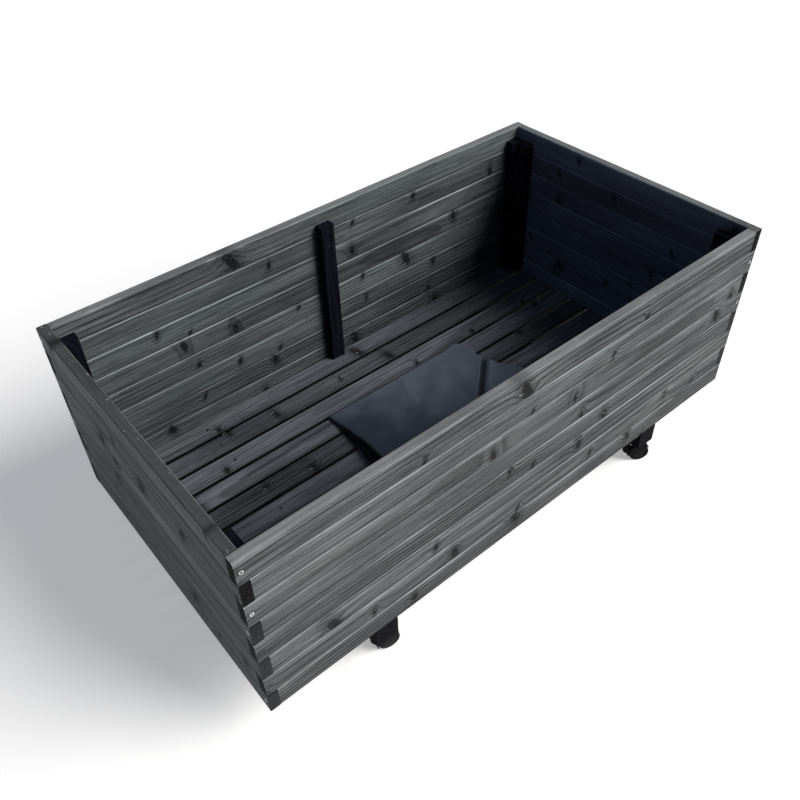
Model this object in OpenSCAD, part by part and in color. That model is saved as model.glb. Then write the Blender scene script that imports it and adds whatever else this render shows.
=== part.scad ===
// Rolling planter: a box of planed pine boards with interlocked corners,
// on two bearers and four swivelling twin-wheel castors. Millimetres, +Z up.
// The origin is on the ground under the middle of the box, +X along its length.

/* [Box] */
// Outside length of the box
box_l = 1100; // [800:10:1600]
// Outside width of the box
box_w = 600; // [520:10:800]

/* [Boards] */
// Thickness of the wall boards
board_t = 18; // [15:0.5:22]
// Width of a wall board, which is the height of one course
board_w = 45; // [38:1:60]
// Open joint between two courses
course_gap = 0.2; // [0:0.1:3]
// Rounding along the edges of the boards
edge_r = 2.5; // [1:0.5:4]
// Rounding at the sawn ends of the boards
end_r = 1; // [0.5:0.25:2]

/* [Floor] */
// Width of one floor slat
slat_w = 45; // [38:1:48]
// Thickness of one floor slat
slat_t = 12; // [10:0.5:18]
// Distance between two slats that their number is chosen for
slat_step = 52; // [49:1:70]
// Gap at each end of the slats
slat_end_gap = 1; // [0.5:0.5:5]
// Gap between the outer slats and the long walls
slat_side_gap = 0.5; // [0:0.5:3]
// Width of a bearer under the floor
bearer_w = 45; // [42:1:60]
// Height of a bearer
bearer_h = 43; // [30:1:60]
// Distance of each bearer from the middle of the box
bearer_x = 330; // [200:5:360]

/* [Battens] */
// Width of a batten along its wall
batten_w = 32; // [26:1:40]
// Thickness of a batten
batten_t = 18; // [15:1:25]
// Distance from the rim down to the top of the battens
batten_drop = 24; // [10:1:40]

/* [Screws] */
// Diameter of the shank of the wood screws
screw_d = 3.5; // [3:0.1:4]
// Diameter of the countersunk head
screw_head_d = 7; // [6:0.1:8]
// Length of the wood screws
screw_l = 30; // [26:1:32]
// Clearance round a screw in its hole
screw_fit = 0.1; // [0.05:0.05:0.3]

/* [Castors] */
// Height from the ground to the top of the plate
castor_h = 57; // [53:1:65]
// Diameter of a wheel
wheel_d = 40; // [36:1:42]
// Width of one wheel
wheel_w = 11; // [9:0.5:13]
// Distance from the swivel axis to the axle
trail = 17; // [15:0.5:19]
// Side of the square mounting plate
plate_side = 38; // [36:1:42]
// Thickness of the mounting plate
plate_t = 2; // [1.5:0.5:3]
// Distance of each swivel axis from the end of its bearer
castor_inset = 34; // [24:1:80]
// Diameter of the kingpin
kingpin_d = 8; // [6:0.5:9]
// Diameter of the axle
axle_d = 5; // [4:0.5:6]
// Running clearance of the kingpin and the axle
run_fit = 0.05; // [0.02:0.01:0.1]

/* [Liner] */
// Length of the folded liner along the box
liner_l = 358; // [250:5:420]
// Width of the folded liner across the box
liner_w = 366; // [250:5:380]
// Distance of its left edge from the middle of the box
liner_left = 132; // [100:1:200]
// Gap between the liner and the front wall
liner_front = 43; // [20:1:60]
// Height to which its left edge curls up
liner_curl = 30; // [5:1:60]
// How far the lower layer sticks out past the upper one on the right
liner_flap = 80; // [10:5:120]

/* [Hidden] */

$fn = 48;
// How far a cut runs past the face that it starts from
cut = 1;
stained = [0.33, 0.35, 0.36];
stained_dark = [0.2, 0.21, 0.23];
zinc = [0.75, 0.76, 0.78];
black_nylon = [0.09, 0.09, 0.1];
film = [0.25, 0.29, 0.36];

// Heights
courses = 8;
walls_z = castor_h + bearer_h;
course_pitch = board_w + course_gap;
rim_z = walls_z + courses * course_pitch - course_gap;
floor_z = walls_z + slat_t;
batten_top = rim_z - batten_drop;

// Inside of the box
inner_l = box_l - 2 * board_t;
inner_w = box_w - 2 * board_t;

// Floor slats
slat_field = inner_w - 2 * slat_side_gap;
slats = 1 + round((slat_field - slat_w) / slat_step);
slat_pitch = (slat_field - slat_w) / (slats - 1);

// Screws: how deep each reaches into the piece that it holds, and how far
// those of a batten stay from its top, its open edge, its foot and the tip of
// the screw in its foot
screw_grip = screw_l - board_t;
batten_grip = screw_l - batten_t;
slat_grip = screw_l - slat_t;
screw_top_edge = 12;
screw_side_edge = 7;
screw_above_tip = 4;
screw_foot_edge = slat_grip + screw_above_tip;
screw_point = 4;
head_flat = 0.3;
head_h = (screw_head_d - screw_d) / 2;

// Castors: the side of the box where each stands, front left, front right,
// back right and back left, and its turn about the swivel axis seen from above
castor_side = [[-1, -1], [1, -1], [1, 1], [-1, 1]];
castor_turn = [-10, -32, -25, -14];
castor_y = box_w / 2 - castor_inset;
// Plate, with the race pressed round its kingpin and the groove that holds
// the housing on
plate_hole = 14.5;
plate_hole_d = 4.6;
plate_corner_r = 4;
race_d = 22;
race_t = 2.5;
race_gap = 0.3;
kingpin_l = 26;
groove_up = 3;
groove_h = 2;
groove_t = 0.6;
ridge_fit = 0.15;
// Screws of the plate
castor_screw_d = 4;
castor_screw_l = 14;
castor_head_d = 7.5;
castor_head_h = 2.2;
// Housing: a column with ribs, a web between the wheels and a hood over them
wheel_r = wheel_d / 2;
axle_z = wheel_r - castor_h;
column_r = 10;
column_top = -plate_t - race_t - race_gap;
column_foot = axle_z - 7;
rib_r = 0.8;
web_t = 13;
web_hub_r = 8;
hood_gap = 1.3;
hood_t = 2;
// Wheels
wheel_gap = 0.5;
tread_r = 2.5;
tread_t = 4;
face_t = 3.5;
hub_t = 3;
groove_in = 8;
groove_w = 3;
groove_depth = 0.7;
axle_in_wheel = 8.8;
hood_w = web_t + 2 * (wheel_gap + wheel_w);

// One course is shifted to one side and the next to the other
function side(k) = k % 2 == 1 ? -1 : 1;
function course_z(k) = rim_z - board_w / 2 - (k - 1) * course_pitch;
function wall_l(w) = w % 2 == 0 ? box_l : box_w;
function wall_y(w) = (w % 2 == 0 ? box_w : box_l) / 2;
function slat_y(i) = -slat_field / 2 + slat_w / 2 + i * slat_pitch;

// Battens along one wall, from its middle: those of the short walls stand
// close beside those of the long walls
batten_gap = 0.2;
function batten_at(w) = w % 2 == 0
  ? [-inner_l / 2 + batten_w / 2, 0, inner_l / 2 - batten_w / 2]
  : [for (s = [-1, 1]) s * (inner_w / 2 - batten_t - batten_gap - batten_w / 2)];
function screw_at(w) = w % 2 == 0
  ? [-inner_l / 2 + batten_w - screw_side_edge, 0, inner_l / 2 - batten_w + screw_side_edge]
  : batten_at(w);
function batten_screw_z(k) =
  min(max(course_z(k), floor_z + screw_foot_edge), batten_top - screw_top_edge);

// ---- shared shapes -------------------------------------------------------

// Rectangle with true round corners, centred
module round_rect(a, b, r) {
  square([a - 2 * r, b], center = true);
  square([a, b - 2 * r], center = true);
  for (x = [-1, 1], y = [-1, 1])
    translate([x * (a / 2 - r), y * (b / 2 - r)]) circle(r, $fn = 24);
}

// Planed board along X, centred: a thick and b high, long edges rounded,
// ends eased
module board(l, a, b) {
  intersection() {
    rotate([90, 0, 90]) linear_extrude(l, center = true) round_rect(a, b, edge_r);
    rotate([90, 0, 0]) linear_extrude(a + cut, center = true) round_rect(l, b, end_r);
    linear_extrude(b + cut, center = true) round_rect(l, a, end_r);
  }
}

// Wood screw along +Z with its countersunk head flush at z = 0
module wood_screw() {
  rotate_extrude($fn = 24) polygon([
    [0, 0], [screw_head_d / 2, 0], [screw_head_d / 2, head_flat], [screw_d / 2, head_flat + head_h],
    [screw_d / 2, screw_l - screw_point], [screw_fit, screw_l], [0, screw_l]
  ]);
}

// The hole that a wood screw fills, countersunk at z = 0
module screw_hole() {
  r = screw_d / 2 + screw_fit;
  head_r = screw_head_d / 2 + screw_fit;
  flat = head_flat + screw_fit;
  rotate_extrude($fn = 24) polygon([
    [0, -cut], [head_r, -cut], [head_r, flat], [r, flat + head_h], [r, screw_l + cut], [0, screw_l + cut]
  ]);
}

// Plain pilot hole along +Z from z = 0 for a screw that reaches so deep
module pilot(depth, d = screw_d) {
  translate([0, 0, -cut]) cylinder(h = depth + 1.5 * cut, r = d / 2 + screw_fit, $fn = 24);
}

// Turns the frame of a wall, with its outer face towards -Y, to wall w:
// 0 front, 1 right, 2 back, 3 left
module on_wall(w) {
  rotate([0, 0, 90 * w]) children();
}

// ---- walls ---------------------------------------------------------------

// One wall board. It passes the neighbouring wall at one end, where a screw
// goes through it, and butts against the other neighbour with its other end.
module wall_board(w, k) {
  s = side(k);
  l = wall_l(w) - board_t;
  color(stained)
    on_wall(w)
      translate([s * board_t / 2, board_t / 2 - wall_y(w), course_z(k)])
        difference() {
          board(l, board_t, board_w);
          translate([s * (l - board_t) / 2, -board_t / 2, 0]) rotate([-90, 0, 0]) screw_hole();
          translate([-s * l / 2, 0, 0]) rotate([0, s * 90, 0]) pilot(screw_grip);
          for (x = screw_at(w))
            translate([x - s * board_t / 2, board_t / 2, batten_screw_z(k) - course_z(k)])
              rotate([90, 0, 0]) pilot(batten_grip);
        }
}

// Screws through the passing ends into the ends of the boards beside them
module corner_screws() {
  color(zinc)
    for (w = [0 : 3], k = [1 : courses])
      on_wall(w)
        translate([side(k) * (wall_l(w) - board_t) / 2, -wall_y(w), course_z(k)])
          rotate([-90, 0, 0]) wood_screw();
}

// ---- battens -------------------------------------------------------------

// Upright battens inside the walls: two in each corner and one in the middle
// of each long wall
module battens() {
  l = batten_top - floor_z;
  color(stained_dark)
    for (w = [0 : 3], i = [0 : len(batten_at(w)) - 1])
      on_wall(w)
        translate([batten_at(w)[i], board_t + batten_t / 2 - wall_y(w), floor_z])
          difference() {
            translate([0, 0, l / 2]) rotate([0, 90, 0]) board(l, batten_t, batten_w);
            for (k = [1 : courses])
              translate([screw_at(w)[i] - batten_at(w)[i], batten_t / 2, batten_screw_z(k) - floor_z])
                rotate([90, 0, 0]) screw_hole();
            pilot(slat_grip);
          }
}

// Screws from inside through the battens into every wall board
module batten_screws() {
  color(zinc)
    for (w = [0 : 3], x = screw_at(w), k = [1 : courses])
      on_wall(w)
        translate([x, board_t + batten_t - wall_y(w), batten_screw_z(k)])
          rotate([90, 0, 0]) wood_screw();
}

// ---- floor ---------------------------------------------------------------

// Where the foot of each batten is screwed from under the floor
module at_batten_feet() {
  for (w = [0 : 3], x = batten_at(w))
    on_wall(w) translate([x, board_t + batten_t / 2 - wall_y(w), walls_z]) children();
}

// Where each slat is screwed to each bearer from above
module at_slat_screws() {
  for (x = [-bearer_x, bearer_x], i = [0 : slats - 1])
    translate([x, slat_y(i), floor_z]) rotate([180, 0, 0]) children();
}

// Lengthwise slats with open joints, for the water to drain
module floor_slats() {
  color(stained)
    difference() {
      for (i = [0 : slats - 1])
        translate([0, slat_y(i), walls_z + slat_t / 2])
          board(inner_l - 2 * slat_end_gap, slat_w, slat_t);
      at_slat_screws() screw_hole();
      at_batten_feet() screw_hole();
    }
}

// Screws of the slats, and of the feet of the battens
module floor_screws() {
  color(zinc) {
    at_slat_screws() wood_screw();
    at_batten_feet() wood_screw();
  }
}

// Two bearers across the box carry the walls, the floor and the castors
module bearers() {
  color(stained_dark)
    difference() {
      for (x = [-1, 1])
        translate([x * bearer_x, 0, walls_z - bearer_h / 2])
          rotate([0, 0, 90]) board(box_w, bearer_w, bearer_h);
      at_slat_screws() translate([0, 0, slat_t]) pilot(slat_grip);
      for (c = castor_side)
        translate([c[0] * bearer_x, c[1] * castor_y, castor_h])
          at_plate_holes() pilot(castor_screw_l - plate_t, castor_screw_d);
    }
}

// ---- castors -------------------------------------------------------------

// Puts a castor on its swivel axis with the top of its plate at z = 0
module at_castor(c) {
  translate([castor_side[c][0] * bearer_x, castor_side[c][1] * castor_y, castor_h]) children();
}

// Turns what swivels, whose wheels trail towards +X, to its place
module swivelled(c) {
  at_castor(c) rotate([0, 0, castor_turn[c]]) children();
}

module at_plate_holes() {
  for (x = [-1, 1], y = [-1, 1]) translate([x * plate_hole, y * plate_hole, 0]) children();
}

// Square steel plate with a race and a kingpin riveted into it
module castor_plate(c) {
  color(zinc)
    at_castor(c)
      difference() {
        union() {
          translate([0, 0, -plate_t]) linear_extrude(plate_t)
            round_rect(plate_side, plate_side, plate_corner_r);
          translate([0, 0, -plate_t - race_t]) cylinder(h = race_t + plate_t / 2, d = race_d);
          translate([0, 0, -kingpin_l]) cylinder(h = kingpin_l - plate_t / 2, d = kingpin_d);
        }
        at_plate_holes() translate([0, 0, -plate_t - cut])
          cylinder(h = plate_t + 2 * cut, d = plate_hole_d, $fn = 24);
        translate([0, 0, groove_up - kingpin_l]) kingpin_ring(0, groove_h);
      }
}

// Ring that cuts the groove of the kingpin, or with a clearance the ridge of
// the housing that sits in it
module kingpin_ring(fit, h) {
  difference() {
    cylinder(h = h, d = kingpin_d + 4 * groove_t);
    translate([0, 0, -cut]) cylinder(h = h + 2 * cut, d = kingpin_d - 2 * groove_t + 2 * fit);
  }
}

// Pan head screws of the plates
module castor_screws() {
  color(zinc)
    for (c = [0 : 3])
      at_castor(c) at_plate_holes() {
        translate([0, 0, -plate_t - castor_head_h]) cylinder(h = castor_head_h, d = castor_head_d, $fn = 24);
        translate([0, 0, -plate_t - castor_head_h / 2])
          cylinder(h = castor_screw_l + castor_head_h / 2, d = castor_screw_d, $fn = 24);
      }
}

// Sector of a ring from angle a to angle b, less than half a turn
module ring_sector(r_in, r_out, a, b) {
  reach = 2 * r_out;
  intersection() {
    difference() {
      circle(r_out, $fn = 96);
      circle(r_in, $fn = 96);
    }
    polygon([[0, 0], reach * [cos(a), sin(a)], reach * [cos((a + b) / 2), sin((a + b) / 2)],
             reach * [cos(b), sin(b)]]);
  }
}

// Places a profile drawn in X and Z upright across the castor, w wide
module across(w) {
  rotate([90, 0, 0]) linear_extrude(w, center = true) children();
}

// The hole of the housing that turns on the kingpin, open at its foot, with
// the ridge that snaps into the groove
module kingpin_bore() {
  difference() {
    translate([0, 0, -kingpin_l - cut]) cylinder(h = kingpin_l + cut, d = kingpin_d + 2 * run_fit);
    translate([0, 0, groove_up - kingpin_l + ridge_fit]) kingpin_ring(ridge_fit, groove_h - 2 * ridge_fit);
  }
}

// Black housing: a ribbed column round the kingpin, a web between the wheels
// and a hood over them
module castor_housing(c) {
  clear_r = wheel_r + hood_gap;
  color(black_nylon)
    swivelled(c)
      difference() {
        union() {
          difference() {
            union() {
              translate([0, 0, column_foot]) cylinder(h = column_top - column_foot, r = column_r);
              for (a = [120 : 30 : 240])
                rotate([0, 0, a]) translate([column_r, 0, column_foot + 2])
                  cylinder(h = column_top - column_foot - 4, r = rib_r, $fn = 24);
            }
            translate([trail, 0, axle_z]) rotate([90, 0, 0])
              cylinder(h = hood_w + 2 * cut, r = clear_r, center = true, $fn = 96);
          }
          translate([trail, 0, axle_z]) {
            across(hood_w) ring_sector(clear_r, clear_r + hood_t, 40, 125);
            across(hood_w) ring_sector(clear_r, clear_r + hood_t, 120, 196);
            across(web_t) {
              ring_sector(0, clear_r + hood_t / 2, 20, 110);
              ring_sector(0, clear_r + hood_t / 2, 100, 205);
              circle(web_hub_r);
            }
          }
        }
        kingpin_bore();
        translate([trail, 0, axle_z]) rotate([90, 0, 0])
          cylinder(h = web_t + 2 * cut, d = axle_d + 2 * run_fit, center = true);
      }
}

// One wheel about Z, open and hollow round its hub at z = 0, closed and
// grooved at its other face, with a blind bore for the axle
module wheel() {
  hub_r = axle_d / 2 + hub_t;
  color(black_nylon)
    rotate_extrude($fn = 96)
      difference() {
        intersection() {
          translate([0, wheel_w / 2]) round_rect(wheel_d, wheel_w, tread_r);
          square([wheel_r, wheel_w]);
        }
        translate([hub_r, -cut]) square([wheel_r - tread_t - hub_r, wheel_w - face_t + cut]);
        translate([wheel_r - groove_in, wheel_w - groove_depth]) square([groove_w, groove_depth + cut]);
        translate([-cut, -cut]) square([cut + axle_d / 2 + run_fit, cut + axle_in_wheel + run_fit]);
      }
}

// Both wheels of a castor are alike: s is -1 for the front one and 1 for the
// back one
module castor_wheel(c, s) {
  swivelled(c)
    translate([trail, s * (web_t / 2 + wheel_gap), axle_z])
      rotate([-s * 90, 0, 0]) wheel();
}

// Axle through the web into both wheels, with eased ends
module castor_axle(c) {
  r = axle_d / 2;
  end = web_t / 2 + wheel_gap + axle_in_wheel;
  ease = 0.5;
  color(zinc)
    swivelled(c)
      translate([trail, 0, axle_z]) rotate([90, 0, 0])
        rotate_extrude() polygon([
          [0, -end], [r - ease, -end], [r, ease - end], [r, end - ease], [r - ease, end], [0, end]
        ]);
}

// ---- liner ---------------------------------------------------------------

// Folded sheet that lies loose on the slats. Two layers lie on each other,
// and the lower one sticks out on the right. The left edge curls up, more so
// towards the front.
layer_t = 3;
liner_lift = 0.3;
liner_back = liner_front + liner_w - inner_w / 2;
// How far the right edge of the upper layer slants back towards the front
liner_slant = 108;
curl_reach = 110;
ripple_h = 0.6;
lip = 6;
// Columns and rows of its surface, and the column at the upper layer's edge
liner_nx = 26;
liner_ny = 14;
upper_nx = 20;

function ramp(t, a, b) = min(1, max(0, (t - a) / (b - a)));
function upper_edge(v) = liner_l - liner_slant * ramp(v, 0.14, 0.5);
function lower_edge(v) = liner_l + lip + liner_flap * ramp(v, 0.15, 0.42);
function liner_column(i, v) = i <= upper_nx
  ? upper_edge(v) * i / upper_nx
  : upper_edge(v) + lip / 4
    + (lower_edge(v) - upper_edge(v) - lip / 4) * (i - upper_nx - 1) / (liner_nx - upper_nx - 1);
function curl(x, v) =
  liner_curl * (0.2 + 0.8 * ramp(v, 0, 0.4)) * pow(max(0, 1 - x / curl_reach), 2);
function ripple(x, v) = ripple_h * (sin(2.5 * x + 300 * v) + sin(620 * v - 0.6 * x));
function liner_top(x, i, v) =
  layer_t * (i > upper_nx ? 1 : 1 + ramp(x, 20, 200)) + ripple(x, v) * ramp(x, 0, 60);
function liner_point(i, j, top) =
  let (v = j / liner_ny, x = liner_column(i, v))
    [x - liner_left, liner_back - v * liner_w,
     floor_z + liner_lift + curl(x, v) + (top ? liner_top(x, i, v) : 0)];

module liner() {
  nx = liner_nx;
  ny = liner_ny;
  function at(t, i, j) = t * (nx + 1) * (ny + 1) + j * (nx + 1) + i;
  function two(a, b, c, d) = [[a, b, c], [a, c, d]];
  points = [for (t = [0, 1], j = [0 : ny], i = [0 : nx]) liner_point(i, j, t == 1)];
  faces = [
    for (j = [0 : ny - 1], i = [0 : nx - 1]) each concat(
      two(at(1, i, j), at(1, i + 1, j), at(1, i + 1, j + 1), at(1, i, j + 1)),
      two(at(0, i, j), at(0, i, j + 1), at(0, i + 1, j + 1), at(0, i + 1, j))),
    for (i = [0 : nx - 1]) each concat(
      two(at(0, i, 0), at(0, i + 1, 0), at(1, i + 1, 0), at(1, i, 0)),
      two(at(1, i, ny), at(1, i + 1, ny), at(0, i + 1, ny), at(0, i, ny))),
    for (j = [0 : ny - 1]) each concat(
      two(at(1, 0, j), at(1, 0, j + 1), at(0, 0, j + 1), at(0, 0, j)),
      two(at(0, nx, j), at(0, nx, j + 1), at(1, nx, j + 1), at(1, nx, j)))
  ];
  color(film) polyhedron(points, faces, convexity = 4);
}

// ---- nodes ---------------------------------------------------------------

walls = ["front", "right", "back", "left"];
for (w = [0 : 3], k = [1 : 8])
  wall_board(w, k);
battens();
floor_slats();
bearers();
liner();
corner_screws();
batten_screws();
floor_screws();
castor_screws();
for (c = [0 : 3]) {
  name = str("castor_", c + 1, "_");
  castor_plate(c);
  castor_housing(c);
  castor_wheel(c, -1);
  castor_wheel(c, 1);
  castor_axle(c);
}
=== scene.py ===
import math

import bmesh
import bpy
from mathutils import Matrix, Vector, noise


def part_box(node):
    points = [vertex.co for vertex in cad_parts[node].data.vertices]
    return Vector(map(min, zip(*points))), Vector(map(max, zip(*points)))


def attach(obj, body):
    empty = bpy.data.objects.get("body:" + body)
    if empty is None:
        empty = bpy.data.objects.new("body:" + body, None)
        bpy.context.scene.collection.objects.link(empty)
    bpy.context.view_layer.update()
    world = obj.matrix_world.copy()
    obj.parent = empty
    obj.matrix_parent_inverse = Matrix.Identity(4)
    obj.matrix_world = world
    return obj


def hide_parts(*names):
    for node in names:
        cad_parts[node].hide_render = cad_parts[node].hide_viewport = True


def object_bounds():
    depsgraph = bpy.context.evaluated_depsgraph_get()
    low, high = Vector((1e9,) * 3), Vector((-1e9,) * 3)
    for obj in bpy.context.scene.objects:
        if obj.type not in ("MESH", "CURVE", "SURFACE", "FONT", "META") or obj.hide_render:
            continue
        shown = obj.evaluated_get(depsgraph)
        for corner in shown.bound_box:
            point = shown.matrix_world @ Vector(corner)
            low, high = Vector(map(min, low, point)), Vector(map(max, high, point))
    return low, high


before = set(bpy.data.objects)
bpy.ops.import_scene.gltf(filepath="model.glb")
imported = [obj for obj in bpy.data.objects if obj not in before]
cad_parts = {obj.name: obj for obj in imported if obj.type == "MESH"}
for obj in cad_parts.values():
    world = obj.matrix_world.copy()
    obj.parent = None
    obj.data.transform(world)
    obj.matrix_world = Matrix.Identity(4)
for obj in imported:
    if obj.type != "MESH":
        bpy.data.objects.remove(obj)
cad_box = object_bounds()

# ---- camera ----------------------------------------------------------------
# The photograph looks down over the front left corner from about 1.3 m above
# the ground. The picture is cut slightly off the middle of the lens.
eye = Vector((-0.75134, -0.87443, 1.26166))
to_right = Vector((0.77127, -0.63574, -0.03113))
to_foot = Vector((-0.44363, -0.50183, -0.74253))
camera_data = bpy.data.cameras.new("camera")
camera_data.sensor_width = 36
camera_data.lens = 37.07
camera_data.shift_x = 0.01275
camera_data.shift_y = -0.0242
camera_data.clip_start = 0.01
camera = bpy.data.objects.new("camera", camera_data)
camera.matrix_world = Matrix.Translation(eye) @ Matrix(
    (to_right, -to_foot, -to_right.cross(to_foot))).transposed().to_4x4()
bpy.context.scene.collection.objects.link(camera)
bpy.context.scene.camera = camera


# ---- studio ----------------------------------------------------------------
# A pale floor under a dim sky, and one broad soft light from the front right.
# The floor looks white to the eye, and keeps the soft shadow of the box.
class Value:
    """A value that runs over a surface, worked out by the shader's maths nodes."""

    def __init__(self, finish, socket):
        self.finish = finish
        self.socket = socket

    def math(self, operation, *others):
        inputs = dict(enumerate((self, *others)))
        return self.finish.node("ShaderNodeMath", {"operation": operation}, inputs)

    def __add__(self, other):
        return self.math("ADD", other)

    def __sub__(self, other):
        return self.math("SUBTRACT", other)

    def __mul__(self, other):
        return self.math("MULTIPLY", other)

    def __truediv__(self, other):
        return self.math("DIVIDE", other)

    def __rsub__(self, other):
        return self.math("MULTIPLY_ADD", -1.0, other)

    __radd__ = __add__
    __rmul__ = __mul__

    def ramp(self, low, high):
        """0 below low and 1 above high, with a soft step between them."""
        return self.finish.node(
            "ShaderNodeMapRange", {"interpolation_type": "SMOOTHSTEP"},
            {"Value": self, "From Min": low, "From Max": high}, "Result")


class Finish:
    """One material under way, or the sky round the object."""

    def __init__(self, owner):
        self.owner = owner
        self.owner.use_nodes = True
        self.tree = self.owner.node_tree
        self.tree.nodes.clear()

    def node(self, kind, settings={}, inputs={}, output=0):
        """Adds any node, with its settings first and then its sockets."""
        made = self.tree.nodes.new(kind)
        for name, value in settings.items():
            setattr(made, name, value)
        for name, value in inputs.items():
            if isinstance(value, Value):
                self.tree.links.new(value.socket, made.inputs[name])
            else:
                made.inputs[name].default_value = value
        return Value(self, made.outputs[output]) if made.outputs else None

    def place(self):
        """Where the point lies in the object, in metres."""
        return self.node("ShaderNodeTexCoord", output="Object")

    def split(self, vector):
        parts = self.node("ShaderNodeSeparateXYZ", {}, {0: vector})
        return [Value(self, socket) for socket in parts.socket.node.outputs]

    def join(self, x, y, z):
        return self.node("ShaderNodeCombineXYZ", {}, {0: x, 1: y, 2: z})

    def noise(self, vector, scale, detail=2.0, rough=0.5):
        return self.node("ShaderNodeTexNoise", {}, {
            "Vector": vector, "Scale": scale, "Detail": detail, "Roughness": rough})

    def dice(self, seed, output):
        """One throw, or three as a colour, that stay the same for one seed."""
        return self.node("ShaderNodeTexWhiteNoise", {"noise_dimensions": "1D"},
                         {"W": seed}, output)

    def mix(self, share, first, second, blend="MIX"):
        """Mixes two colours, which are inputs 6 and 7 of the node, into output 2."""
        node = self.node("ShaderNodeMix", {"data_type": "RGBA", "blend_type": blend}).socket.node
        for socket, value in ((0, share), (6, first), (7, second)):
            if isinstance(value, Value):
                self.tree.links.new(value.socket, node.inputs[socket])
            else:
                node.inputs[socket].default_value = value if socket == 0 else (*value, 1)
        return Value(self, node.outputs[2])

    def shaded(self, colour, shade):
        """The colour, times a number."""
        return self.mix(1.0, colour, self.join(shade, shade, shade), "MULTIPLY")

    def relief(self, height, strength, distance):
        """Small bumps, as the direction that the surface faces."""
        return self.node("ShaderNodeBump", {}, {
            "Strength": strength, "Distance": distance, "Height": height})

    def rays(self):
        """1 for what the eye sees, also in a mirror or through glass."""
        kinds = self.node("ShaderNodeLightPath").socket.node.outputs
        seen, mirrored, passed = (Value(self, kinds[f"Is {kind} Ray"])
                                  for kind in ("Camera", "Glossy", "Transmission"))
        return seen.math("MAXIMUM", mirrored).math("MAXIMUM", passed)

    def close(self, shader, output="ShaderNodeOutputMaterial"):
        self.node(output, {}, {"Surface": shader})
        return self.owner

    def coat(self, **inputs):
        """Ends the material in one shader with the given sockets."""
        names = {name.replace("_", " "): value for name, value in inputs.items()}
        return self.close(self.node("ShaderNodeBsdfPrincipled", {}, names))


def new_piece(name, shape):
    """Makes an object of a finished shape, where it stands."""
    mesh = bpy.data.meshes.new(name)
    shape.to_mesh(mesh)
    shape.free()
    piece = bpy.data.objects.new(name, mesh)
    bpy.context.scene.collection.objects.link(piece)
    return piece


floor_reach = 12
shape = bmesh.new()
bmesh.ops.create_grid(shape, x_segments=1, y_segments=1, size=floor_reach)
studio_floor = new_piece("studio_floor", shape)
pale = Finish(bpy.data.materials.new("pale_floor"))
matt = pale.node("ShaderNodeBsdfDiffuse", {}, {"Color": (0.28, 0.28, 0.28, 1)})
glow = pale.node("ShaderNodeEmission", {}, {"Color": (1, 1, 1, 1), "Strength": 0.37})
soft = pale.node("ShaderNodeBsdfDiffuse", {}, {"Color": (0.95, 0.93, 0.89, 1)})
lit = pale.node("ShaderNodeAddShader", {}, {0: glow, 1: soft})
studio_floor.data.materials.append(pale.close(pale.node(
    "ShaderNodeMixShader", {}, {0: pale.rays(), 1: matt, 2: lit})))

sky = Finish(bpy.data.worlds.new("studio"))
bpy.context.scene.world = sky.owner
low_glow, high_blue = (0.80, 0.82, 0.84), (0.024, 0.036, 0.070)
upwards = sky.split(sky.node("ShaderNodeTexCoord", output="Generated"))[2]
fill = sky.node("ShaderNodeBackground", {}, {
    "Color": sky.mix(upwards.ramp(0.02, 0.26), low_glow, high_blue), "Strength": 1.0})
backdrop = sky.node("ShaderNodeBackground", {}, {"Color": (1, 1, 1, 1), "Strength": 1.0})
sky.close(sky.node("ShaderNodeMixShader", {}, {0: sky.rays(), 1: fill, 2: backdrop}),
          "ShaderNodeOutputWorld")

light_from = Vector((0.53, -0.635, 0.62))
sun = bpy.data.lights.new("key_light", "SUN")
sun.angle = math.radians(36)
sun.energy = 3.5
key_light = bpy.data.objects.new("key_light", sun)
key_light.rotation_mode = "QUATERNION"
key_light.rotation_quaternion = light_from.to_track_quat("Z", "Y")
key_light.location = light_from * 4
bpy.context.scene.collection.objects.link(key_light)
bpy.context.scene.view_settings.view_transform = "Standard"

# ---- wall boards -----------------------------------------------------------
# Planed pine boards 18 x 45 mm, stained a thin charcoal grey that lets the
# grain and the knots through. Each board has a painted highlight along its
# upper edge and painted shade along its lower part, and the sawn ends drank
# most of the stain.
courses = 8
board_low, board_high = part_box(f"front_board_{courses}")
top_board_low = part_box("front_board_1")[0]
walls_z = board_low.z
board_w = board_high.z - board_low.z
board_t = board_high.y - board_low.y
course_pitch = (top_board_low.z - board_low.z) / (courses - 1)
half_l, half_w = cad_box[1].x, cad_box[1].y


def dress(node, material):
    """Gives a CAD node its finish."""
    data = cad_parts[node].data
    data.materials.clear()
    data.materials.append(material)


def distance(x, y):
    return (x.math("POWER", 2.0) + y.math("POWER", 2.0)).math("SQRT")


def nearest_knot(finish, along, across, seed):
    """How far across the board the nearest knot lies, how many of its radii
    away it is, and 1 if it is there at all, or else 0."""
    knot_step, knot_spread, least_r, more_r = 0.16, 0.036, 0.0034, 0.0085
    cell = along / knot_step + seed * 5.37
    found = finish.node("ShaderNodeTexVoronoi", {"voronoi_dimensions": "1D"}, {
        "W": cell, "Scale": 1.0, "Randomness": 0.85})
    outputs = found.socket.node.outputs
    aside, size, chance = finish.split(Value(finish, outputs["Color"]))
    knot_along = (cell - Value(finish, outputs["W"])) * knot_step
    knot_across = across - (aside - 0.5) * knot_spread
    knot_r = size.math("POWER", 2.0) * more_r + least_r
    slant = knot_along + knot_across * (size - 0.5) * 0.9
    wobble = finish.noise(finish.join(along * 60, across * 60, seed), 1.0)
    reach = distance(slant, knot_across * 0.58) / knot_r + (wobble - 0.5) * 1.1
    return knot_across, reach, chance.math("GREATER_THAN", 0.45)


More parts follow.
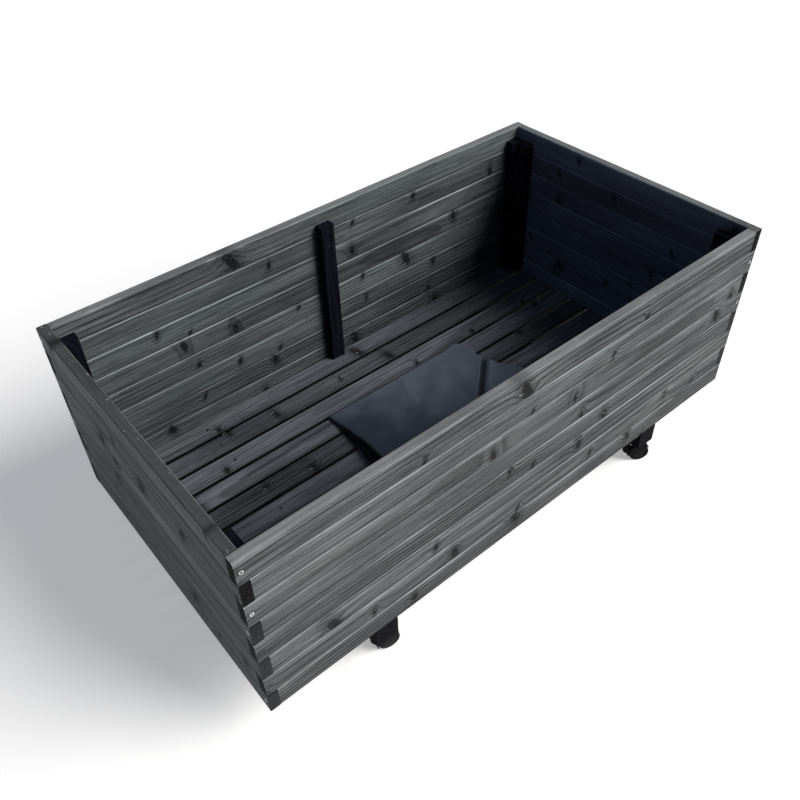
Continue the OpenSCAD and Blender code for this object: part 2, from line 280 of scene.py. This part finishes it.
def late_wood(finish, along, across, deep, seed, knot_across, reach, there):
    """The dark lines of the growth rings. They bow round a knot and wander a
    little along the board. The heart of the tree lies well behind the board,
    and further to one side of some boards than of others."""
    ring, heart_behind, heart_aside = 0.0034, 0.022, 0.30
    push = there / (reach.math("POWER", 3.0) * 0.4 + 1.0)
    bent = across - knot_across * push * 0.9
    heart = finish.dice(seed + 0.41, "Value")
    slow_deep = finish.noise(finish.join(along * 1.6, seed * 3.1, 0.3), 1.0, 1.0)
    slow_across = finish.noise(finish.join(along * 1.5, seed * 2.3, 7.7), 1.0, 1.0)
    ripple = finish.noise(finish.join(along * 7, bent * 45, deep * 45 + seed), 1.0)
    pith_deep = deep + heart_behind + slow_deep * 0.010
    pith_across = bent + (slow_across - 0.5) * 0.012 + (heart - 0.5) * heart_aside
    radius = distance(pith_deep, pith_across)
    rings = (radius + ripple * 0.0013) / ring + seed * 0.77
    turn = (rings + push * reach * 1.6).math("FRACT")
    late = turn.ramp(0.50, 0.74) * (1 - turn.ramp(0.84, 0.90))
    # where the saw ran along a ring the dark wood is thin and pale
    return late * ((pith_across / radius).math("ABSOLUTE").ramp(0.0, 0.5) * 0.65 + 0.35)


def grain(finish, along, across, deep, seed):
    """Growth rings, knots, fibres and blotches of a sawn pine board. along
    runs with the grain, across starts at the middle of the board, and deep
    runs outwards from the middle of the box."""
    knot_across, reach, there = nearest_knot(finish, along, across, seed)
    fibre_place = finish.join(along * 6, across * 280, deep * 280 + seed)
    blotch_place = finish.join(along * 4.0, across * 16, deep * 16 + seed * 1.7)
    return {
        "late": late_wood(finish, along, across, deep, seed, knot_across, reach, there),
        "fibre": finish.noise(fibre_place, 1.0, 5.0, 0.85),
        "blotch": finish.noise(blotch_place, 1.0, 3.0),
        "knot": (1 - reach.ramp(0.80, 1.15)) * there,
        "core": (1 - reach.ramp(0.1, 0.75)) * there,
        "around": (1 - reach.ramp(0.9, 3.0)) * there}


class Spot:
    """A point on one of a row of boards. run, rise and deep are its place
    along, across and through the boards, and count is the number of its board.
    middle and up are its place across that board, in metres and in half
    widths, and seed starts the patterns of the board. edge is 1 on both planed
    edges, joint on the flat of them, top on the upper one, inner on the inner
    face and end on the sawn ends."""

    def __init__(self, finish, axes, outward, row, first_seed):
        along, across, through = axes
        piece_w, pitch, start = row
        place = finish.split(finish.place())
        facing = finish.split(finish.node("ShaderNodeNewGeometry", output="Normal"))
        self.run, self.rise, self.deep = place[along], place[across], place[through]
        self.count = ((self.rise - start) / pitch).math("FLOOR")
        self.seed = self.count * 1.37 + first_seed
        self.middle = self.rise - start - self.count * pitch - piece_w / 2
        self.up = self.middle / (piece_w / 2)
        self.edge = facing[across].math("ABSOLUTE").ramp(0.6, 0.9)
        self.joint = facing[across].math("ABSOLUTE").ramp(0.90, 0.99)
        self.top = facing[across].ramp(0.5, 0.9)
        self.inner = (facing[through] * -outward).ramp(0.5, 0.8)
        self.end = facing[along].math("ABSOLUTE").ramp(0.55, 0.85)


def painted_edge_highlight(finish, spot, highlight_w, edge_highlight):
    """The band under the upper edge of each board, and how much paler it makes
    the stain: a painted highlight where the light catches the rounded edge."""
    rag = finish.noise(finish.join(spot.run * 25, spot.middle * 40, spot.seed + 5), 1.0, 3.0)
    ragged = (rag - 0.5) * 0.2
    band = (spot.up + ragged).ramp(0.90 - highlight_w, 0.93)
    line = (spot.up + ragged * 0.3).ramp(0.86, 0.93)
    highlight_noise = finish.noise(finish.join(spot.run * 3.5, spot.seed + 17, 0.7), 1.0).ramp(0.32, 0.66)
    return band, (band + line * 0.5) * (highlight_noise * 0.9 + 0.35) * edge_highlight * (1 - spot.edge) + 1.0


def corner_marks(spot, half, first_end, fresh):
    """How far the stain has soaked into the ends of the boards, and the shade
    that comes of it, with a painted highlight along the edges of each end and a
    ring of painted shade round each screw, where its countersink lies."""
    odd = (spot.count / 2).math("FRACT") * 2
    passing = (spot.run.math("SIGN") * (1 - odd * 2) * first_end).ramp(-0.5, 0.5)
    from_middle = spot.run.math("ABSOLUTE")
    to_end = passing * board_t + (half - board_t) - from_middle
    soaked = 1 - to_end.ramp(0.0, 0.012)
    # painted highlight along the edges of each end
    arris_highlight = (1 - to_end.ramp(0.0008, 0.0020)) * fresh
    # painted shade of the countersink, as a dark ring round each screw
    from_screw = distance(half - board_t / 2 - from_middle, spot.middle)
    ring = from_screw.ramp(0.0030, 0.0034) * (1 - from_screw.ramp(0.0040, 0.0062))
    return soaked, (arris_highlight * 0.9 + 1.0) * (1 - soaked * 0.14) * (1 - ring * 0.55)


def sawn_end(finish, spot, late):
    """The nearly black ends, mottled along the rings and paler near the ground, with painted
    shade of the joints as a black outline.
    """
    place = finish.join(spot.run * 40, spot.middle * 420, spot.deep * 260)
    mottle = (finish.noise(place, 1.0, 3.0, 0.8) + late * 0.10).ramp(0.50, 0.66)
    mottle = mottle + 1 - spot.rise.ramp(0.26, 0.40)
    # painted shade of the joints, as a black outline along both edges of each end
    mottle = mottle * (1 - spot.up.math("ABSOLUTE").ramp(0.84, 0.95))
    return finish.mix(mottle * 0.5, (0.003, 0.003, 0.003), (0.076, 0.076, 0.078))


def stained_pine(name, stains, axes, outward, row, half, first_seed, edge_highlight, first_end=0,
                 highlight_w=0.45, rim=1.0, joint=0.0, darker_low=(0.10, 0.35, 0.15),
                 inner_shade=(1, 1, 1), inner_shade_top=(1, 1, 1), veil=0.0):
    """The stain on a row of boards, each with its own grain and tone.

    stains      the palest and the darkest stain
    axes        the axes along, across and through the boards
    outward     the way that the outer face looks on the last axis
    row         the width of a board, its step to the next and where they start
    half        half the length of the box along the boards
    edge_highlight  how strong the painted highlight is along the upper edges
    first_end   the end at which the lowest board reaches the corner; the
                other boards reach it at one end and the other by turns
    highlight_w width of the band of painted highlight, in half widths of a board
    rim, joint  how pale the upward edges are, and how dark the joints are, which is painted shade
    in the gaps darker_low  where the boards are darkest and palest, and by how much; on the slats
    it is painted shade from the front wall inner_shade painted shade on the inner face at the
    floor, as a tint, and inner_shade_top at the rim
    veil        how much of the grain is lost in the shade of the inner face"""
    finish = Finish(bpy.data.materials.new(name))
    pale_stain, dark_stain = stains
    spot = Spot(finish, axes, outward, row, first_seed)
    run, middle, deep, seed = spot.run, spot.middle, spot.deep, spot.seed
    tone, crisp, board_highlight = finish.split(finish.dice(seed, "Color"))
    look = grain(finish, run, middle, deep * outward, seed)
    fresh = look["fibre"].ramp(0.36, 0.62)
    # thick and thin stain, with a few patches that are greener than the rest
    colour = finish.mix(look["blotch"].ramp(0.25, 0.75), dark_stain, pale_stain)
    green = tuple(part * share for part, share in zip(pale_stain, (0.86, 0.95, 0.93)))
    patch = finish.noise(finish.join(run * 1.1, middle * 4, seed + 31), 1.0, 1.0).ramp(0.52, 0.60)
    colour = finish.mix(patch * 0.45, colour, green)
    # thin dark late wood and fine fibres, hardly seen on the planed edges
    plain = 1 - spot.inner * veil
    planed = (1 - spot.edge * 0.9) * (1 - patch * 0.5) * plain
    shade = 1 - look["late"] * planed * (crisp * 0.60 + 0.50)
    shade = shade * (fresh * (1 - spot.edge * 0.6) * plain * 1.10 + 0.50 + spot.edge * 0.30)
    # the tone of the board, and darker towards the low end, which on the slats is painted shade
    darkest, palest, loss = darker_low
    shade = shade * (tone * 0.54 + 0.76) * (spot.rise.ramp(darkest, palest) * loss + 1 - loss)
    # the painted highlight at the upper edge, painted shade over the lower part of each board and
    # along its lower edge, and painted shade in the joints
    # painted highlight along the upper edge, stronger on some boards than others
    band, paler = painted_edge_highlight(finish, spot, highlight_w, (board_highlight * 0.9 + 0.5) * edge_highlight)
    # painted shade in a narrow line along the lower edge of each board
    seam_shade = (1 - spot.up.ramp(-0.985, -0.90)) * (1 - spot.edge)
    shade = shade * paler * (spot.up.ramp(-1.0, -0.40) * 0.22 + 0.78) * (1 - seam_shade * 0.72)
    # painted shade on the flat sides in the joints, and the upward faces made paler or darker
    shade = shade * (1 - spot.joint * joint) * (spot.top * (rim - 1.0) + 1.0)
    scratch = finish.noise(finish.join(run * 4, middle * 520, deep * 520 + seed), 1.0, 3.0, 0.7)
    shade = shade * (scratch.ramp(0.62, 0.72) * 0.55 + 1.0)
    soaked, corner = corner_marks(spot, half, first_end, fresh)
    colour = finish.shaded(colour, shade * corner * (1 - look["around"] * 0.42))
    # dark knots, and small pale chips at knots, ends and upper edges
    knot_colour = finish.mix(look["core"] * 0.6, (0.017, 0.017, 0.018), (0.004, 0.004, 0.005))
    colour = finish.mix(look["knot"] * 0.86, colour, knot_colour)
    chips = finish.noise(finish.join(run * 70, middle * 260, deep * 260 + seed), 1.0)
    bare = (soaked + spot.edge * band * 0.6 + look["around"]).math("MINIMUM", 1.0)
    colour = finish.mix(chips.ramp(0.68, 0.71) * bare * 0.75, colour, (0.46, 0.46, 0.44))
    # painted shade on the inner face, as a tint that runs from the floor to the rim
    inner_shade_tint = finish.mix(spot.rise.ramp(0.12, 0.44), inner_shade, inner_shade_top)
    colour = finish.mix(spot.inner, colour, finish.mix(1.0, colour, inner_shade_tint, "MULTIPLY"))
    colour = finish.mix(spot.end, colour, sawn_end(finish, spot, look["late"]))
    height = look["late"] * 0.45 + look["fibre"] * 0.55 - look["knot"] * 0.5
    return finish.coat(
        Base_Color=colour,
        Roughness=look["blotch"] * 0.12 + 0.60 - band * 0.05 + spot.end * 0.25,
        Normal=finish.relief(height * (1 - spot.edge * 0.8), 0.55, 0.0006),
        Specular_IOR_Level=0.06)


grey = ((0.194, 0.196, 0.194), (0.104, 0.106, 0.108))
end_grey = ((0.270, 0.273, 0.273), (0.146, 0.149, 0.151))
long_axes, end_axes = (0, 2, 1), (1, 2, 0)
wall_row = (board_w, course_pitch, walls_z)
walls = {
    "front": stained_pine(
        "front_wall_stain", grey, long_axes, outward=-1.0, row=wall_row, half=half_l,
        first_seed=3.0, edge_highlight=0.52, first_end=1, highlight_w=0.6, rim=1.85, darker_low=(0.08, 0.44, 0.36)),
    "back": stained_pine(
        "back_wall_stain", grey, long_axes, outward=1.0, row=wall_row, half=half_l,
        first_seed=41.0, edge_highlight=0.85, first_end=-1, highlight_w=0.10, rim=1.2, darker_low=(0.10, 0.35, 0.02),
        inner_shade=(0.56, 0.58, 0.59), inner_shade_top=(0.58, 0.60, 0.61)),
    "left": stained_pine(
        "left_wall_stain", end_grey, end_axes, outward=-1.0, row=wall_row, half=half_w,
        first_seed=67.0, edge_highlight=0.05, first_end=-1, rim=0.30,
        inner_shade=(0.84, 0.85, 0.86), inner_shade_top=(0.84, 0.85, 0.86)),
    "right": stained_pine(
        "right_wall_stain", grey, end_axes, outward=1.0, row=wall_row, half=half_w,
        first_seed=93.0, edge_highlight=0.75, first_end=1, highlight_w=0.10,
        inner_shade=(1.40, 1.62, 2.40), inner_shade_top=(0.84, 0.90, 1.34), veil=0.65),
}
for wall, stain in walls.items():
    for course in range(1, courses + 1):
        dress(f"{wall}_board_{course}", stain)

# ---- floor slats -----------------------------------------------------------
# Eleven thin pine slats along the box, screwed to the bearers from above, with
# open joints between them. Same stain, a little darker, with painted shade on
# the sides of the slats in the joints and over the slats towards the front wall.
slats, slat_w = 11, 0.045
slat_low, slat_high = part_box("floor_slats")
slat_pitch = (slat_high.y - slat_low.y - slat_w) / (slats - 1)
dress("floor_slats", stained_pine(
    "slat_stain", ((0.180, 0.184, 0.197), (0.077, 0.080, 0.091)), axes=(0, 1, 2),
    outward=1.0, row=(slat_w, slat_pitch, slat_low.y), half=half_l, first_seed=131.0,
    edge_highlight=0.0, joint=0.97, darker_low=(-0.30, 0.12, 0.62)))


# ---- battens and bearers ---------------------------------------------------
# Rough battens stand in the corners and at the middle of the long walls, and
# two bearers run under the floor. They are stained almost black.
def drawn_out(finish, place, along, with_grain, over_grain):
    """The place, scaled so that a noise on it is drawn out along the grain."""
    return finish.join(*[part * (with_grain if axis == along else over_grain)
                         for axis, part in enumerate(place)])


def dark_pine(name, along, pale_stain, dark_stain, specks=0.0):
    finish = Finish(bpy.data.materials.new(name))
    place = finish.split(finish.place())
    fibre = finish.noise(drawn_out(finish, place, along, 14.0, 260.0), 1.0, 4.0, 0.6)
    broad = finish.noise(drawn_out(finish, place, along, 5.0, 40.0), 1.0)
    chips = finish.noise(drawn_out(finish, place, along, 110.0, 260.0), 1.0, 4.0, 0.8)
    colour = finish.mix(fibre.ramp(0.3, 0.7), dark_stain, pale_stain)
    colour = finish.shaded(colour, broad * 0.7 + 0.65)
    chipped = chips.ramp(0.64, 0.68) * broad.ramp(0.40, 0.60) * specks
    colour = finish.mix(chipped, colour, (0.30, 0.30, 0.30))
    return finish.coat(Base_Color=colour, Roughness=broad * 0.15 + 0.68,
                       Normal=finish.relief(fibre, 0.6, 0.0008), Specular_IOR_Level=0.03)


dress("battens", dark_pine("batten_stain", 2, (0.010, 0.011, 0.018), (0.002, 0.002, 0.004), 0.7))
dress("bearers", dark_pine("bearer_stain", 1, (0.014, 0.014, 0.017), (0.003, 0.003, 0.004)))


# ---- screws ----------------------------------------------------------------
# Zinc plated wood screws, dulled by the weather or sunk in the stain. The pan
# heads of the castor screws are zinc too. Each head has a cross for the driver,
# drawn as a thin dark cross laid on the head, painted shade of the recess.
cross_l, cross_w, cross_deep, cross_sunk = 0.0042, 0.0014, 0.0007, 0.0003


def zinc(name, pale_metal, dull_metal, rough):
    finish = Finish(bpy.data.materials.new(name))
    place = finish.place()
    cloud = finish.noise(place, 420.0, 3.0)
    age = finish.noise(place, 29.0, 1.0)
    colour = finish.mix((cloud * 0.4 + age * 0.6).ramp(0.44, 0.56), dull_metal, pale_metal)
    return finish.coat(Base_Color=colour, Metallic=0.9, Roughness=cloud * 0.2 + rough,
                       Normal=finish.relief(cloud, 0.15, 0.0002))


def loose_screws(group):
    """The corners of each screw of a group, reached along its edges."""
    shape = bmesh.new()
    shape.from_mesh(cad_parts[group].data)
    bmesh.ops.remove_doubles(shape, verts=shape.verts, dist=0.00001)
    seen, screws = set(), []
    for first in shape.verts:
        if first in seen:
            continue
        seen.add(first)
        corners, waiting = [], [first]
        while waiting:
            vert = waiting.pop()
            corners.append(vert.co.copy())
            near = {edge.other_vert(vert) for edge in vert.link_edges} - seen
            seen |= near
            waiting += near
        screws.append(corners)
    shape.free()
    return screws


def screw_head(corners):
    """The middle of the head, just under its face, and the way it looks. The
    head is at the end with the widest ring of corners."""
    end_depth = 0.0002
    low = Vector(map(min, zip(*corners)))
    high = Vector(map(max, zip(*corners)))
    head = (low + high) / 2
    axis = max(range(3), key=lambda i: (high - low)[i])
    reach = [max((corner - head)[axis - 1] for corner in corners
                 if abs(corner[axis] - end[axis]) < end_depth) for end in (low, high)]
    way = -1 if reach[0] > reach[1] else 1
    head[axis] = (high if way > 0 else low)[axis] - way * cross_sunk
    return head, Vector([way if i == axis else 0 for i in range(3)])


bright_zinc = zinc("screw_zinc", (0.80, 0.80, 0.80), (0.10, 0.10, 0.102), 0.34)
stained_zinc = zinc("stained_zinc", (0.030, 0.031, 0.036), (0.010, 0.010, 0.013), 0.6)
sunk_zinc = zinc("sunk_zinc", (0.14, 0.145, 0.155), (0.07, 0.072, 0.08), 0.6)
cross_shades = bmesh.new()
for group, metal in (("corner_screws", bright_zinc), ("castor_screws", bright_zinc),
                     ("batten_screws", stained_zinc), ("floor_screws", sunk_zinc)):
    dress(group, metal)
    for corners in loose_screws(group):
        head, looks = screw_head(corners)
        # each screw was driven home at another turn, up to 40 degrees either way
        turn = 40 * math.sin(head.x * 900 + head.z * 700 + head.y * 500)
        aim = Matrix.Translation(head) @ looks.to_track_quat("Z", "Y").to_matrix().to_4x4()
        for bar in (0, 90):
            bmesh.ops.create_cube(
                cross_shades, size=1.0,
                matrix=aim @ Matrix.Rotation(math.radians(bar + turn), 4, "Z")
                @ Matrix.Diagonal((cross_l, cross_w, cross_deep, 1)))
screw_cross_shades = new_piece("screw_cross_shades", cross_shades)
screw_cross_shades.data.materials.append(
    zinc("cross_shade", (0.012, 0.012, 0.012), (0.005, 0.005, 0.005), 0.7))
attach(screw_cross_shades, "planter_box")


# ---- castors ---------------------------------------------------------------
# Twin-wheel furniture castors: a pressed steel plate, and a housing and wheels
# moulded in black nylon, dusty from the ground.
def moulded_nylon(name, colour, dust):
    finish = Finish(bpy.data.materials.new(name))
    place = finish.place()
    above_ground = finish.split(place)[2]
    spots = finish.noise(place, 260.0, 4.0, 0.6)
    cloud = finish.noise(place, 45.0, 3.0)
    dirt = cloud.ramp(0.45, 0.75) * (1 - above_ground.ramp(0.0, 0.05)) * dust
    return finish.coat(
        Base_Color=finish.mix(dirt, colour, (0.16, 0.155, 0.145)),
        Roughness=spots * 0.25 + 0.42, Normal=finish.relief(spots, 0.25, 0.0002),
        Specular_IOR_Level=0.05)


housing_nylon = moulded_nylon("castor_nylon", (0.003, 0.003, 0.004), 0.10)
wheel_nylon = moulded_nylon("wheel_nylon", (0.010, 0.010, 0.010), 0.25)
plate_zinc = zinc("plate_zinc", (0.42, 0.43, 0.45), (0.26, 0.26, 0.27), 0.4)
castors = 4
for castor in range(1, castors + 1):
    dress(f"castor_{castor}_plate", plate_zinc)
    dress(f"castor_{castor}_axle", plate_zinc)
    dress(f"castor_{castor}_housing", housing_nylon)
    dress(f"castor_{castor}_front_wheel", wheel_nylon)
    dress(f"castor_{castor}_back_wheel", wheel_nylon)

# ---- liner -----------------------------------------------------------------
# A sheet of dark plastic film, folded once at its left and laid loose on the
# slats. Its fold springs up towards the front, its upper layer is cut slanted
# on the right with the lower one sticking out, and its back corners are cut.
liner_l, liner_w, film_t = 0.358, 0.366, 0.0006
liner_left, front_gap = 0.132, 0.043
liner_back = front_gap + liner_w - (half_w - board_t)
liner_z = slat_high.z + 0.0008


def ease(value, low, high):
    """0 up to low and 1 from high on, with a straight slope between them."""
    return min(1.0, max(0.0, (value - low) / (high - low)))


def upper_edge(v):
    """Length of the upper layer. v runs from 0 at the back to 1 at the front."""
    corner = 0.022 * (1 - ease(v, 0.0, 0.036))
    return liner_l - corner - 0.006 * ease(v, 0.03, 0.20) - 0.092 * ease(v, 0.20, 0.45)


def lower_edge(v):
    """Length of the lower layer."""
    corner = 0.024 * (1 - ease(v, 0.0, 0.036))
    return liner_l - corner - 0.008 * ease(v, 0.03, 0.17) + 0.068 * ease(v, 0.18, 0.44)


def fold_rise(v):
    """Height of the sprung fold."""
    heights = (0.003, 0.006, 0.012, 0.020, 0.026, 0.028, 0.028, 0.029, 0.030, 0.030, 0.030)
    step = v * 10
    first = min(int(step), 9)
    return heights[first] + (heights[first + 1] - heights[first]) * (step - first)


def fold_bow(v):
    """How far the fold stands out to the left."""
    return 0.010 * math.exp(-((v - 0.50) / 0.20) ** 2) - 0.005 * ease(v, 0.72, 1.0)


def ridge(x, y, from_x, from_y, to_x, to_y, width):
    """Height share of a soft ridge between two points of the sheet."""
    start, way = Vector((from_x, from_y)), Vector((to_x - from_x, to_y - from_y))
    to_spot = Vector((x, y)) - start
    along = min(1.0, max(0.0, to_spot.dot(way) / way.length_squared))
    return math.exp(-((to_spot - way * along).length / width) ** 2)


# from x, from y, to x, to y, width and height of each ridge
ridges = ((0.05, 0.12, 0.18, 0.03, 0.022, 0.0026), (0.15, 0.13, 0.27, 0.04, 0.018, 0.0024),
          (0.30, 0.04, 0.27, 0.16, 0.016, 0.0024), (0.06, 0.30, 0.18, 0.22, 0.018, 0.0026),
          (0.09, 0.04, 0.13, 0.10, 0.010, 0.0016), (0.16, 0.08, 0.18, 0.02, 0.008, 0.0016))


def upper_layer(x, v):
    """Height of the upper layer over the fold and the ridges, and its shade."""
    sprung = fold_rise(v) * math.exp(-(x / 0.055) ** 1.6)
    nose = math.sqrt(1 - (1 - min(x / (0.002 + fold_rise(v) * 0.35), 1.0)) ** 2)
    wrinkle = sum(size * ridge(x, v * liner_w, *line) for *line, size in ridges)
    wrinkle += (noise.noise(Vector((x * 16, v * 6, 1.3))) + 0.6) * 0.0012
    loose = 0.004 * ease(x, upper_edge(v) - 0.05, upper_edge(v)) ** 2
    height = (0.0024 + sprung) * nose + (wrinkle + loose) * ease(x, 0.02, 0.08)
    band = 0.010 * ease(v, 0.0, 0.35) - 0.006 * ease(v, 0.60, 1.0)
    return height, 1 - ease(x, band, band + 0.003)


def lower_layer(x, v):
    """Height of the lower layer, which is flat under the upper one and rises
    a little past its edge, and the shade beside that edge."""
    past = x - upper_edge(v) - 0.010
    height = 0.007 * math.exp(-((past - 0.016) / 0.012) ** 2)
    return height, 0.9 * math.exp(-((past - 0.001) / 0.011) ** 2) * ease(v, 0.14, 0.24)


shape = bmesh.new()
# painted shade, nearly black, in the fold and beside the edge of the upper layer
shade_of = shape.verts.layers.float.new("fold_shade")
bmesh.ops.create_grid(shape, x_segments=150, y_segments=80, size=0.5)
for vert in shape.verts:
    # the grid runs from the end of the lower layer round the fold to that of
    # the upper layer
    share, v = vert.co.x * 2, 0.5 - vert.co.y
    if share > 0:
        x = upper_edge(v) * share
        height, vert[shade_of] = upper_layer(x, v)
    else:
        x = lower_edge(v) * -share
        height, vert[shade_of] = lower_layer(x, v)
    vert.co = (x - liner_left - fold_bow(v), liner_back - v * liner_w, liner_z + height)
liner = new_piece("folded_liner", shape)
for face in liner.data.polygons:
    face.use_smooth = True
thick = liner.modifiers.new("film", "SOLIDIFY")
thick.thickness = film_t
thick.offset = 0
film = Finish(bpy.data.materials.new("liner_film"))
place = film.place()
x, y = film.split(place)[:2]
crease = film.noise(place, 16.0, 4.0, 0.6)
cloud = film.noise(place, 9.0)
fine = film.noise(place, 480.0)
# painted light: the film is palest to the back and the right and in soft blotches of painted
# highlight, and painted shade makes it black in the folds
painted_light_share = (cloud * 0.6 + crease * 0.5 + x * 2.2 + y * 2.4).ramp(0.30, 1.00)
film_colour = film.mix(painted_light_share, (0.044, 0.054, 0.074), (0.138, 0.158, 0.198))
fold_shade = film.node("ShaderNodeAttribute", {"attribute_name": "fold_shade"}, {}, "Fac")
liner.data.materials.append(film.coat(
    Base_Color=film.mix(fold_shade, film_colour, (0.002, 0.003, 0.005)),
    Roughness=fine * 0.1 + fold_shade * 0.4 + 0.42,
    Normal=film.relief(crease * 0.9 + fine * 0.03, 0.6, 0.004), Specular_IOR_Level=0.06))
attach(liner, "planter_box")
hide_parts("liner")
# the flat sheet takes each layer where it is longest, and the cut one does not; these sums are
# worked out but not used
strips = 60
cut = sum(upper_edge((i + 0.5) / strips) + lower_edge((i + 0.5) / strips)
          for i in range(strips)) / strips
upper_edge(0.04) + lower_edge(1)
cut * liner_w
